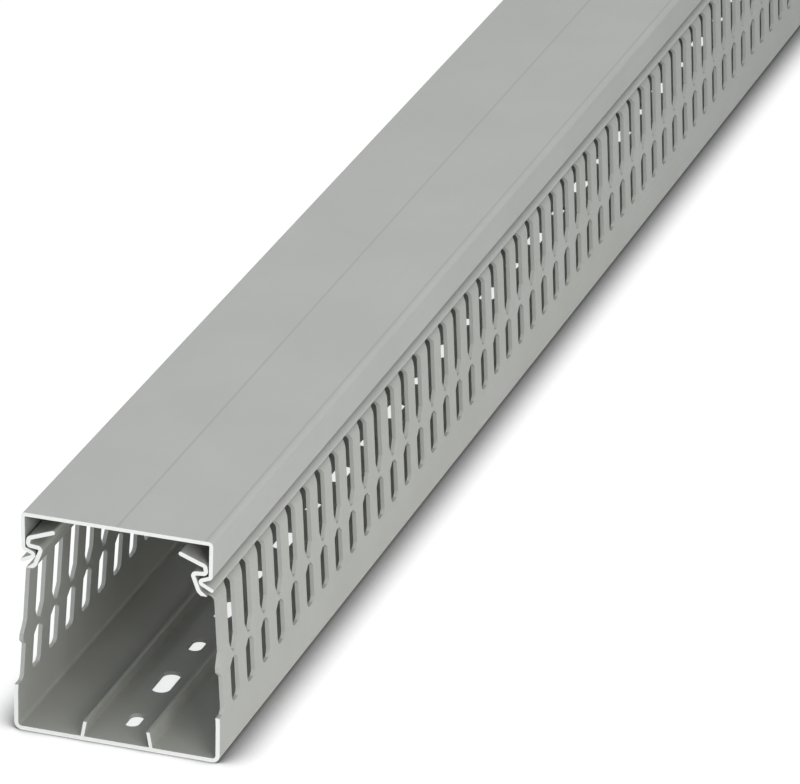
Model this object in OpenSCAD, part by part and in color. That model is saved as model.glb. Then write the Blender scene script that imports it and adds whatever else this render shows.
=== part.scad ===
// Slotted wire duct: an open-topped channel with comb-like side walls and a clip-on cover.
// Millimetres. X is the width, Y the length, Z up. The origin is under the middle of the floor.

/* [Duct] */
// Length of the bar
duct_l = 1000; // [250:250:2000]
// Width over the outside of the channel
duct_w = 60; // [40:5:120]
// Height from the floor to the top of the fitted cover
duct_h = 66; // [50:1:120]

/* [Walls] */
// Thickness of the channel's floor and side walls
base_t = 1.2; // [1:0.1:1.3]
// How far each side wall leans inward from the height of lean_z to the shoulder
wall_lean = 2.2; // [1:0.1:2.4]
// Height at which the side walls begin to lean inward
lean_z = 11.6; // [8:0.2:12]
// Bend radius of the floor corners, to the middle of the wall
corner_r = 1.6; // [1:0.1:3]

/* [Side slots] */
// Distance from slot to slot along the length
slot_pitch = 12.5; // [10:2.5:25]
// Distance of the first slot's middle from the end at negative Y
slot_start = 0.8; // [0:0.1:1]
// Width of a slot
slot_w = 6.25; // [4:0.25:8]
// Height of the bottom of the slots
slot_bottom = 13.6; // [8:0.2:16]
// Radius of the corners at a slot's bottom
slot_corner_r = 1.9; // [0.5:0.1:2]
// Height of the break-out web that crosses each slot
web_z = 27.2; // [22:0.2:30]
// Depth of the break-out web
web_h = 1.8; // [1:0.2:3]
// Width of a slot where it meets the web
web_gap = 2; // [1.5:0.25:4]
// Length over which a slot narrows down to the web from above
taper_above = 3.8; // [1:0.2:5]
// Length over which a slot narrows up to the web from below
taper_below = 1.8; // [1:0.2:3]
// Length of web left standing beside the first finger
web_stub = 2.2; // [0.5:0.1:2.5]
// Depth of the slot's rounded top below the cover's top face
slot_drop = 16.2; // [16.2:0.1:18]

/* [Clip lip] */
// Depth of the bend at the top of a side wall below the cover's top face
shoulder_drop = 18.1; // [17:0.1:19]
// Bend radius of the shoulder
shoulder_r = 2.8; // [1.5:0.1:3]
// Depth of the ledge's inner end
ledge_drop = 15; // [14.5:0.1:15.2]
// Distance of the ledge's inner end from the channel's side
ledge_in = 6.4; // [5.5:0.1:7]
// Depth of the top of the groove that takes the cover's bead
groove_drop = 10; // [9.5:0.1:10.5]
// Distance of the groove's top from the channel's side
groove_in = 8.3; // [8:0.1:9]
// Depth of the lower edge of the lip over the groove
lip_low_drop = 9.6; // [9:0.1:10]
// Distance of the lip's lower edge from the channel's side
lip_low_in = 4.25; // [4:0.05:5]
// Depth of the upper edge of the lip
lip_top_drop = 7.4; // [7:0.1:8]
// Distance of the lip's upper edge from the channel's side
lip_top_in = 4.6; // [4.4:0.1:5.5]
// Depth of the free end of the tongue
tongue_drop = 4.8; // [4:0.1:6]
// Distance of the tongue's free end from the channel's side
tongue_in = 11.6; // [9:0.2:14]
// Bend radius in the groove and at the top of the lip
fold_r = 0.8; // [0.7:0.05:0.9]

/* [Cover] */
// Thickness of the cover
cover_t = 1.1; // [0.9:0.1:1.2]
// How far the cover's legs stand inside the channel's sides
cover_inset = 2.3; // [1.9:0.1:2.5]
// Bend radius of the cover's long corners, to the middle of the wall
cover_r = 0.8; // [0.6:0.1:1.5]
// Depth of the legs below the cover's top face
leg_drop = 10.7; // [10.4:0.1:11]
// How far the legs lean inward from top to bottom
leg_lean = 0.15; // [0:0.05:0.3]
// Depth of the bead's nose
bead_drop = 12.2; // [12:0.1:12.5]
// How far the bead's nose reaches in from the leg
bead_reach = 4; // [3.8:0.05:4.1]
// Depth of the bead's lower edge
bead_tip_drop = 14.3; // [13.8:0.1:14.5]
// How far the bead's lower edge stands out from the leg
bead_tip_out = 0.2; // [0:0.05:0.4]
// Bend radius of the bead
bead_r = 0.65; // [0.6:0.05:0.8]

/* [Floor] */
// Distance of each floor rib from the centre line
rib_x = 10; // [8:1:14]
// Height of the floor ribs above the floor
rib_h = 4.5; // [3:0.5:7]
// Thickness of the floor ribs
rib_t = 1; // [0.8:0.1:1.4]
// How far the ribs lean towards the centre line at the top
rib_lean = 0.8; // [0:0.1:1.5]
// Distance from hole to hole along the floor
hole_pitch = 25; // [25:12.5:50]
// First hole's distance from the end at negative Y
hole_start = 14.2; // [12.5:0.1:20]
// Width of the short floor holes
short_w = 4.25; // [3.5:0.25:5]
// Length of the short floor holes
short_l = 8.25; // [5:0.25:10]
// Width of the long floor holes
long_w = 5.5; // [4.5:0.25:6.5]
// Length of the long floor holes
long_l = 14; // [10:0.5:18]

/* [Hidden] */
grey = [0.62, 0.63, 0.60];
pale_grey = [0.66, 0.67, 0.65];
arc_step = 16;
side = duct_w / 2;
wall_x = side - base_t / 2;
leg_x = side - cover_inset - cover_t / 2;
slot_top = duct_h - slot_drop;
slots = round(duct_l / slot_pitch);
holes = floor((duct_l - hole_start - long_l / 2 - 2) / hole_pitch) + 1;
lean_r = 20;

// Corners of the channel's right half, each [x, z, bend radius], from floor to free tongue
base_half = [
    [wall_x, base_t / 2, corner_r],
    [wall_x, lean_z, lean_r],
    [wall_x - wall_lean, duct_h - shoulder_drop, shoulder_r],
    [side - ledge_in, duct_h - ledge_drop, fold_r],
    [side - groove_in, duct_h - groove_drop, fold_r],
    [side - lip_low_in, duct_h - lip_low_drop, fold_r],
    [side - lip_top_in, duct_h - lip_top_drop, fold_r],
    [side - tongue_in, duct_h - tongue_drop, 0],
];

// Corners of the cover's right half, from the top plate to the lower edge of the bead
cover_half = [
    [leg_x, duct_h - cover_t / 2, cover_r],
    [leg_x - leg_lean, duct_h - leg_drop, bead_r],
    [leg_x - bead_reach, duct_h - bead_drop, bead_r],
    [leg_x + bead_tip_out, duct_h - bead_tip_drop, 0],
];

// Inner face of the channel's floor from left to right over the right-hand rib
rib_face = [
    [rib_x - rib_t / 2, base_t],
    [rib_x - rib_t / 2 - rib_lean, base_t + rib_h],
    [rib_x + rib_t / 2 - rib_lean, base_t + rib_h],
    [rib_x + rib_t / 2, base_t],
];

function unit(v) = v / norm(v);
function left_of(v) = [-v[1], v[0]];
function spin(v, a) = [v[0] * cos(a) - v[1] * sin(a), v[0] * sin(a) + v[1] * cos(a)];
function xz(p) = [p[0], p[1]];
function heading(a, b) = unit(xz(b) - xz(a));
function turn(u, v) = atan2(u[0] * v[1] - u[1] * v[0], u * v);
function reversed(list) = [for (i = [len(list) - 1:-1:0]) list[i]];

// One corner of a run, drawn as an arc at distance s to the left of the run's middle line
function bend(a, p, b, s) =
    let (
        u = heading(a, p),
        v = heading(p, b),
        t = turn(u, v),
        sgn = t > 0 ? 1 : -1,
        centre = xz(p) - u * p[2] * tan(abs(t) / 2) + left_of(u) * p[2] * sgn,
        n = ceil(abs(t) / arc_step)
    )
    [for (k = [0:n]) centre + spin(left_of(u), t * k / n) * (s - sgn * p[2])];

// One face of a bent strip, at distance s to the left of its middle line
function face_line(run, s) =
    let (
        n = len(run) - 1,
        v = heading(run[n - 1], run[n])
    )
    concat(
        [for (i = [1:n - 1]) each bend(run[i - 1], run[i], run[i + 1], s)],
        [xz(run[n]) + left_of(v) * s]
    );

// Points of a rounded free end, between the two faces
function round_end(p, u, r) = [for (a = [60, 30, 0, -30, -60]) xz(p) + spin(u, a) * r];

// Half the outline of a bent strip of thickness t: its inner face, its free end, its outer face
function half_strip(half, t) =
    let (
        run = concat([[0, half[0][1], 0]], half),
        n = len(run) - 1
    )
    concat(
        face_line(run, t / 2),
        round_end(run[n], heading(run[n - 1], run[n]), t / 2),
        reversed(face_line(run, -t / 2))
    );

// The mirrored other half completes the outline
function both_halves(half) = concat(half, [for (p = reversed(half)) [-p[0], p[1]]]);

module along_y(l) {
    translate([0, l / 2, 0])
    rotate([90, 0, 0])
    linear_extrude(height = l)
    children();
}

module across_x(w) {
    translate([-w / 2, 0, 0])
    rotate([90, 0, 90])
    linear_extrude(height = w)
    children();
}

// Lower window of a slot: flat bottom with round corners, narrowed below the web
module lower_window() {
    half = slot_w / 2;
    inner = half - slot_corner_r;
    low = slot_bottom + slot_corner_r;
    top = web_z - web_h / 2;
    translate([-inner, low]) circle(r = slot_corner_r, $fn = 48);
    translate([inner, low]) circle(r = slot_corner_r, $fn = 48);
    translate([-inner, slot_bottom]) square([2 * inner, slot_corner_r]);
    polygon([
        [-half, low],
        [half, low],
        [half, top - taper_below],
        [web_gap / 2, top],
        [-web_gap / 2, top],
        [-half, top - taper_below],
    ]);
}

// Upper window of a slot: narrowed above the web, rounded top
module upper_window() {
    half = slot_w / 2;
    low = web_z + web_h / 2;
    translate([0, slot_top - half]) circle(r = half, $fn = 48);
    polygon([
        [half, slot_top - half],
        [-half, slot_top - half],
        [-half, low + taper_above],
        [-web_gap / 2, low],
        [web_gap / 2, low],
        [half, low + taper_above],
    ]);
}

// Each pair of windows is cut straight across, through both walls
module side_slots() {
    for (i = [0:slots]) {
        translate([0, slot_start + i * slot_pitch - duct_l / 2, 0]) {
            across_x(duct_w + 2) lower_window();
            across_x(duct_w + 2) upper_window();
        }
    }
}

// The end at negative Y is cut through a slot, where the web is broken off to a stub
module broken_web() {
    translate([-side - 1, -duct_l / 2 - slot_w, web_z - web_h])
    cube([duct_w + 2, slot_start + 1.5 * slot_w - web_stub, 2 * web_h]);
}

module floor_hole(w, l) {
    for (y = [(w - l) / 2, (l - w) / 2]) {
        translate([0, y, -1]) cylinder(d = w, h = base_t + 2, $fn = 48);
    }
    translate([-w / 2, (w - l) / 2, -1]) cube([w, l - w, base_t + 2]);
}

module floor_holes() {
    for (i = [0:holes - 1]) {
        translate([0, hole_start + i * hole_pitch - duct_l / 2, 0]) {
            if (i % 2 == 0) floor_hole(short_w, short_l);
            if (i % 2 == 1) floor_hole(long_w, long_l);
        }
    }
}

module base() {
    color(grey)
    difference() {
        along_y(duct_l)
        polygon(both_halves(concat(rib_face, half_strip(base_half, base_t))));
        side_slots();
        broken_web();
        floor_holes();
    }
}

module cover() {
    color(pale_grey)
    along_y(duct_l)
    polygon(both_halves(half_strip(cover_half, cover_t)));
}

base();
cover();
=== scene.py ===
import math

import bpy
import numpy as np
from mathutils import Matrix, Vector


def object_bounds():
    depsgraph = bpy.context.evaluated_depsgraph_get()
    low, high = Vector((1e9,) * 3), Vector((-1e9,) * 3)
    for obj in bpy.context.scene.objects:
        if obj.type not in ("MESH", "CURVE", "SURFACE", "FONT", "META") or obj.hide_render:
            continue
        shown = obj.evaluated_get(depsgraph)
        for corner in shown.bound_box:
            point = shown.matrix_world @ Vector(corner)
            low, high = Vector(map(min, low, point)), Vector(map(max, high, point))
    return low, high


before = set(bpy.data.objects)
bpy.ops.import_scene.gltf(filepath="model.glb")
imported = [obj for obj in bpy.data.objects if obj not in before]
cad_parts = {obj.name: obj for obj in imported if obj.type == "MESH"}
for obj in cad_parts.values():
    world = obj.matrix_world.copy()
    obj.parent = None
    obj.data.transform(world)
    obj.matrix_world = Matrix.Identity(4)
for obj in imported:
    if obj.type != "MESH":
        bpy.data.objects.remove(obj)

packed_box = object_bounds()
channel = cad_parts["base"]
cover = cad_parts["cover"]
near_end = packed_box[0].y
half_width = packed_box[1].x
half_length = packed_box[1].y


# Camera: a long lens, above and to the right of the near end, looking down the length.
# The duct runs out of the top right corner of the view.
CAMERA_X, CAMERA_BACK, CAMERA_Z = 0.5124, 1.346, 0.742
TURN, TILT, ROLL = math.radians(17.839), math.radians(23.802), math.radians(-1.253)
LENS_MM, SENSOR_MM = 265.8, 36.0


def long_lens_camera():
    """A camera whose view direction is turned left by TURN, tilted down by TILT and rolled by ROLL.

    right = (cos TURN, sin TURN, 0); ahead = (-sin TURN cos TILT, cos TURN cos TILT, -sin TILT);
    down = ahead x right; the roll turns right and down about ahead."""
    right = np.array([math.cos(TURN), math.sin(TURN), 0.0])
    ahead = np.array([
        -math.sin(TURN) * math.cos(TILT),
        math.cos(TURN) * math.cos(TILT),
        -math.sin(TILT),
    ])
    down = np.cross(ahead, right)
    rolled_right = math.cos(ROLL) * right + math.sin(ROLL) * down
    rolled_up = math.sin(ROLL) * right - math.cos(ROLL) * down
    camera = bpy.data.objects.new("camera", bpy.data.cameras.new("camera"))
    camera.data.lens, camera.data.sensor_width = LENS_MM, SENSOR_MM
    camera.data.clip_start, camera.data.clip_end = 0.05, 50.0
    axes = Matrix(np.array([rolled_right, rolled_up, -ahead]).T.tolist()).to_4x4()
    place = Vector((CAMERA_X, near_end - CAMERA_BACK, CAMERA_Z))
    camera.matrix_world = Matrix.Translation(place) @ axes
    bpy.context.scene.collection.objects.link(camera)
    bpy.context.scene.camera = camera


long_lens_camera()


# Studio: a faintly cool white tent all round, a softbox over the near end, and a smaller one low
# in front of it on the right. Both stand close, so their light falls off along the duct.
def linear(hex_colour):
    """The linear colour of an sRGB hex value.

    c / 12.92 up to 0.04045, else ((c + 0.055) / 1.055) ** 2.4."""
    parts = [int(hex_colour[i:i + 2], 16) / 255 for i in (1, 3, 5)]
    lin = [c / 12.92 if c <= 0.04045 else ((c + 0.055) / 1.055) ** 2.4 for c in parts]
    return (*lin, 1.0)


def add_node(tree, kind, links=None, **settings):
    """Adds a node, sets its properties and its inputs, and links the inputs named in links."""
    node = tree.nodes.new(kind)
    for key, value in settings.items():
        if hasattr(node, key):
            setattr(node, key, value)
        else:
            node.inputs[key.replace("_", " ")].default_value = value
    for key, source in (links or {}).items():
        tree.links.new(source, node.inputs[key])
    return node


def new_material(name):
    """An empty node material and its tree."""
    material = bpy.data.materials.new(name)
    material.use_nodes = True
    material.node_tree.nodes.clear()
    return material, material.node_tree


def softbox(name, size, place, target, watts, colour):
    """A rectangular area lamp, size = (width, depth), at place and turned towards target."""
    lamp = bpy.data.lights.new(name, "AREA")
    lamp.shape = "RECTANGLE"
    lamp.size, lamp.size_y = size
    lamp.energy, lamp.color = watts, linear(colour)[:3]
    lamp_object = bpy.data.objects.new(name, lamp)
    lamp_object.location = place
    lamp_object.rotation_mode = "QUATERNION"
    lamp_object.rotation_quaternion = (Vector(target) - Vector(place)).to_track_quat("-Z", "Y")
    bpy.context.scene.collection.objects.link(lamp_object)


def white_tent(light_hex, light_strength):
    """The world: plain white to the camera and in reflections, a little cooler and dimmer as light."""
    world = bpy.data.worlds.new("tent")
    bpy.context.scene.world = world
    world.use_nodes = True
    tree = world.node_tree
    tree.nodes.clear()
    path = add_node(tree, "ShaderNodeLightPath")
    tent = add_node(tree, "ShaderNodeBackground", Color=linear(light_hex), Strength=light_strength)
    seen = add_node(tree, "ShaderNodeBackground", Color=(1.0, 1.0, 1.0, 1.0), Strength=1.0)
    mirrored = add_node(tree, "ShaderNodeMath", {
        0: path.outputs["Is Camera Ray"],
        1: path.outputs["Is Glossy Ray"],
    }, operation="MAXIMUM")
    mix = add_node(tree, "ShaderNodeMixShader", {
        0: mirrored.outputs[0],
        1: tent.outputs[0],
        2: seen.outputs[0],
    })
    add_node(tree, "ShaderNodeOutputWorld", {"Surface": mix.outputs[0]})


white_tent(light_hex="#F2F8FF", light_strength=0.42)
softbox("overhead_softbox", size=(0.9, 0.9), place=(0.2, near_end + 0.05, 1.0),
        target=(0.0, near_end + 0.15, 0.06), watts=5.2, colour="#FFFDFA")
softbox("side_softbox", size=(0.7, 0.7), place=(0.9, near_end - 0.8, 0.5),
        target=(0.0, near_end + 0.1, 0.03), watts=8.0, colour="#FFFDF9")


# Floor: a sheet of white paper, burnt out to plain white as in a catalogue picture.
# It keeps the duct's cast shadow faintly; the dark, tight shadow where it stands is painted shade.
def paper_floor():
    """A square sheet at z = 0, wider than any view of it.

    To the camera it glows by how open the place is, g = ramp(openness within SHADOW_REACH): a painted
    shadow, dark and tight around the duct's foot. Between the channel's ribs it glows evenly, with no
    painted shadow, so the floor holes show it as plain paper."""
    HALF_SHEET = 12.0
    SHADOW_REACH = 0.016
    SHUT, OPEN = 0.45, 0.97
    DARKEST, BRIGHTEST = 0.03, 1.15
    END_MARGIN = 0.004
    PAPER_WHITE, GLOW_SHARE = 0.9, 0.8
    corners = [(-HALF_SHEET, -HALF_SHEET, 0), (HALF_SHEET, -HALF_SHEET, 0),
               (HALF_SHEET, HALF_SHEET, 0), (-HALF_SHEET, HALF_SHEET, 0)]
    mesh = bpy.data.meshes.new("paper_floor")
    mesh.from_pydata(corners, [], [(0, 1, 2, 3)])
    floor = bpy.data.objects.new("paper_floor", mesh)
    bpy.context.scene.collection.objects.link(floor)

    material, tree = new_material("white_paper")
    path = add_node(tree, "ShaderNodeLightPath")
    # Painted shadow: the floor's glow dims where the duct closes in around it.
    openness = add_node(tree, "ShaderNodeAmbientOcclusion", Distance=SHADOW_REACH, samples=24)
    ramp = add_node(tree, "ShaderNodeMapRange", {"Value": openness.outputs["AO"]},
                    interpolation_type="SMOOTHSTEP", From_Min=SHUT, From_Max=OPEN,
                    To_Min=DARKEST, To_Max=BRIGHTEST)
    place = add_node(tree, "ShaderNodeTexCoord")
    parts = add_node(tree, "ShaderNodeSeparateXYZ", {0: place.outputs["Object"]})
    off_centre = add_node(tree, "ShaderNodeMath", {0: parts.outputs["X"]}, operation="ABSOLUTE")
    between_ribs = add_node(tree, "ShaderNodeMath", {0: off_centre.outputs[0]},
                            operation="LESS_THAN")
    between_ribs.inputs[1].default_value = half_width / 3
    off_middle = add_node(tree, "ShaderNodeMath", {0: parts.outputs["Y"]}, operation="ABSOLUTE")
    inside_ends = add_node(tree, "ShaderNodeMath", {0: off_middle.outputs[0]},
                           operation="LESS_THAN")
    inside_ends.inputs[1].default_value = half_length - END_MARGIN
    under_floor = add_node(tree, "ShaderNodeMath", {
        0: between_ribs.outputs[0],
        1: inside_ends.outputs[0],
    }, operation="MULTIPLY")
    glow = add_node(tree, "ShaderNodeMath", {0: ramp.outputs[0], 1: under_floor.outputs[0]},
                    operation="MAXIMUM")
    light = add_node(tree, "ShaderNodeEmission", {"Strength": glow.outputs[0]})
    paper = add_node(tree, "ShaderNodeBsdfDiffuse", Color=(*[PAPER_WHITE] * 3, 1.0))
    share = add_node(tree, "ShaderNodeMath", {0: path.outputs["Is Camera Ray"]},
                     operation="MULTIPLY")
    share.inputs[1].default_value = GLOW_SHARE
    both = add_node(tree, "ShaderNodeMixShader", {
        0: share.outputs[0],
        1: paper.outputs[0],
        2: light.outputs[0],
    })
    add_node(tree, "ShaderNodeOutputMaterial", {"Surface": both.outputs[0]})
    mesh.materials.append(material)


paper_floor()
bpy.context.scene.view_settings.view_transform = "Standard"


# Channel: rigid PVC extruded in one length, its slots and floor holes punched afterwards.
# The extruded skin is a satin grey with faint die lines along the length. A punch leaves a duller
# face; punched faces are painted paler and the sawn ends almost white, partly the cut's own colour
# and partly painted light.
def extruded_pvc(name, skin_hex, worn_hex, punched_hex, sawn_hex, line_xs=()):
    """Rigid PVC: extruded skin, punched faces and sawn ends told apart by normal and place.

    cut = ramp(|normal.y|, 0.15 to 0.35); sawn = cut where |y| is within SAWN_DEPTH of an end;
    each of line_xs is a fine drawn line along the top at that x, 0.3 mm wide with soft edges.
    Real die lines and saw grain are finer: both are drawn as coarse as they need to be to show."""
    DIE_LINE_MM, MOTTLE_MM, GRAIN_MM = 1.111, 33.33, 0.3846
    ALONG_STRETCH = 0.0045
    SAWN_DEPTH = 0.0003
    LINE_HEX, LINE_STRENGTH = "#8A8C87", 0.55
    LINE_HALF, LINE_FADE = 0.00015, 0.0005
    SATIN, SATIN_WORN, MATT = 0.3, 0.4, 0.7
    material, tree = new_material(name)
    place = add_node(tree, "ShaderNodeTexCoord")
    normal = add_node(tree, "ShaderNodeSeparateXYZ", {0: place.outputs["Normal"]})
    along = add_node(tree, "ShaderNodeMath", {0: normal.outputs["Y"]}, operation="ABSOLUTE")
    cut = add_node(tree, "ShaderNodeMapRange", {"Value": along.outputs[0]},
                   From_Min=0.15, From_Max=0.35)
    point = add_node(tree, "ShaderNodeSeparateXYZ", {0: place.outputs["Object"]})
    reach = add_node(tree, "ShaderNodeMath", {0: point.outputs["Y"]}, operation="ABSOLUTE")
    at_end = add_node(tree, "ShaderNodeMath", {0: reach.outputs[0]}, operation="GREATER_THAN")
    at_end.inputs[1].default_value = half_length - SAWN_DEPTH

    stretch = add_node(tree, "ShaderNodeMapping", {"Vector": place.outputs["Object"]},
                       Scale=(1.0, ALONG_STRETCH, 1.0))
    die_lines = add_node(tree, "ShaderNodeTexNoise", {"Vector": stretch.outputs[0]},
                         Scale=1000 / DIE_LINE_MM, Detail=3.0, Roughness=0.6)
    mottle = add_node(tree, "ShaderNodeTexNoise", {"Vector": place.outputs["Object"]},
                      Scale=1000 / MOTTLE_MM, Detail=4.0, Roughness=0.55)
    grain = add_node(tree, "ShaderNodeTexNoise", {"Vector": place.outputs["Object"]},
                     Scale=1000 / GRAIN_MM, Detail=2.0)

    tone = add_node(tree, "ShaderNodeMapRange", {"Value": mottle.outputs["Fac"]},
                    From_Min=0.35, From_Max=0.65)
    streak = add_node(tree, "ShaderNodeMapRange", {"Value": die_lines.outputs["Fac"]},
                      From_Min=0.3, From_Max=0.7, To_Min=-0.25, To_Max=0.25)
    blend = add_node(tree, "ShaderNodeMath", {0: tone.outputs[0], 1: streak.outputs[0]},
                     operation="ADD", use_clamp=True)
    skin = add_node(tree, "ShaderNodeMix", {0: blend.outputs[0]}, data_type="RGBA")
    skin.inputs[6].default_value = linear(worn_hex)
    skin.inputs[7].default_value = linear(skin_hex)
    colour = skin.outputs[2]
    for x in line_xs:
        gap = add_node(tree, "ShaderNodeMath", {0: point.outputs["X"]}, operation="SUBTRACT")
        gap.inputs[1].default_value = x
        off = add_node(tree, "ShaderNodeMath", {0: gap.outputs[0]}, operation="ABSOLUTE")
        line = add_node(tree, "ShaderNodeMapRange", {"Value": off.outputs[0]},
                        From_Min=LINE_HALF, From_Max=LINE_FADE, To_Min=LINE_STRENGTH, To_Max=0.0)
        darker = add_node(tree, "ShaderNodeMix", {0: line.outputs[0], 6: colour}, data_type="RGBA")
        darker.inputs[7].default_value = linear(LINE_HEX)
        colour = darker.outputs[2]

    # Cut faces painted paler, sawn ends almost white: partly their own colour, partly painted light.
    cut_colour_and_painted_light = add_node(tree, "ShaderNodeMix", {0: at_end.outputs[0]}, data_type="RGBA")
    cut_colour_and_painted_light.inputs[6].default_value = linear(punched_hex)
    cut_colour_and_painted_light.inputs[7].default_value = linear(sawn_hex)
    face = add_node(tree, "ShaderNodeMix", {
        0: cut.outputs[0],
        6: colour,
        7: cut_colour_and_painted_light.outputs[2],
    }, data_type="RGBA")
    rough = add_node(tree, "ShaderNodeMapRange", {"Value": die_lines.outputs["Fac"]},
                     From_Min=0.3, From_Max=0.7, To_Min=SATIN, To_Max=SATIN_WORN)
    dull = add_node(tree, "ShaderNodeMix", {0: cut.outputs[0], 2: rough.outputs[0]},
                    data_type="FLOAT")
    dull.inputs[3].default_value = MATT
    relief = add_node(tree, "ShaderNodeMix", {
        0: cut.outputs[0],
        2: die_lines.outputs["Fac"],
        3: grain.outputs["Fac"],
    }, data_type="FLOAT")
    bump = add_node(tree, "ShaderNodeBump", {"Height": relief.outputs[0]},
                    Strength=0.35, Distance=0.00004)
    shader = add_node(tree, "ShaderNodeBsdfPrincipled", {
        "Base Color": face.outputs[2],
        "Roughness": dull.outputs[0],
        "Normal": bump.outputs[0],
    }, IOR=1.53)
    add_node(tree, "ShaderNodeOutputMaterial", {"Surface": shader.outputs[0]})
    return material


channel.data.materials.clear()
channel.data.materials.append(
    extruded_pvc("extruded_pvc_channel", "#A7A8A3", "#A2A39D", "#B4B6B1", "#F8F9F6"))


# Cover: the same PVC, extruded flat with two bead-edged legs and clipped over the channel's lips.
# Two faint lines are drawn along its top by the die, at its middle and close to its right edge.
cover.data.materials.clear()
cover.data.materials.append(
    extruded_pvc("extruded_pvc_cover", "#A9AAA7", "#A5A6A2", "#B4B6B1", "#F8F9F6",
                 line_xs=(0.0, 0.0255)))
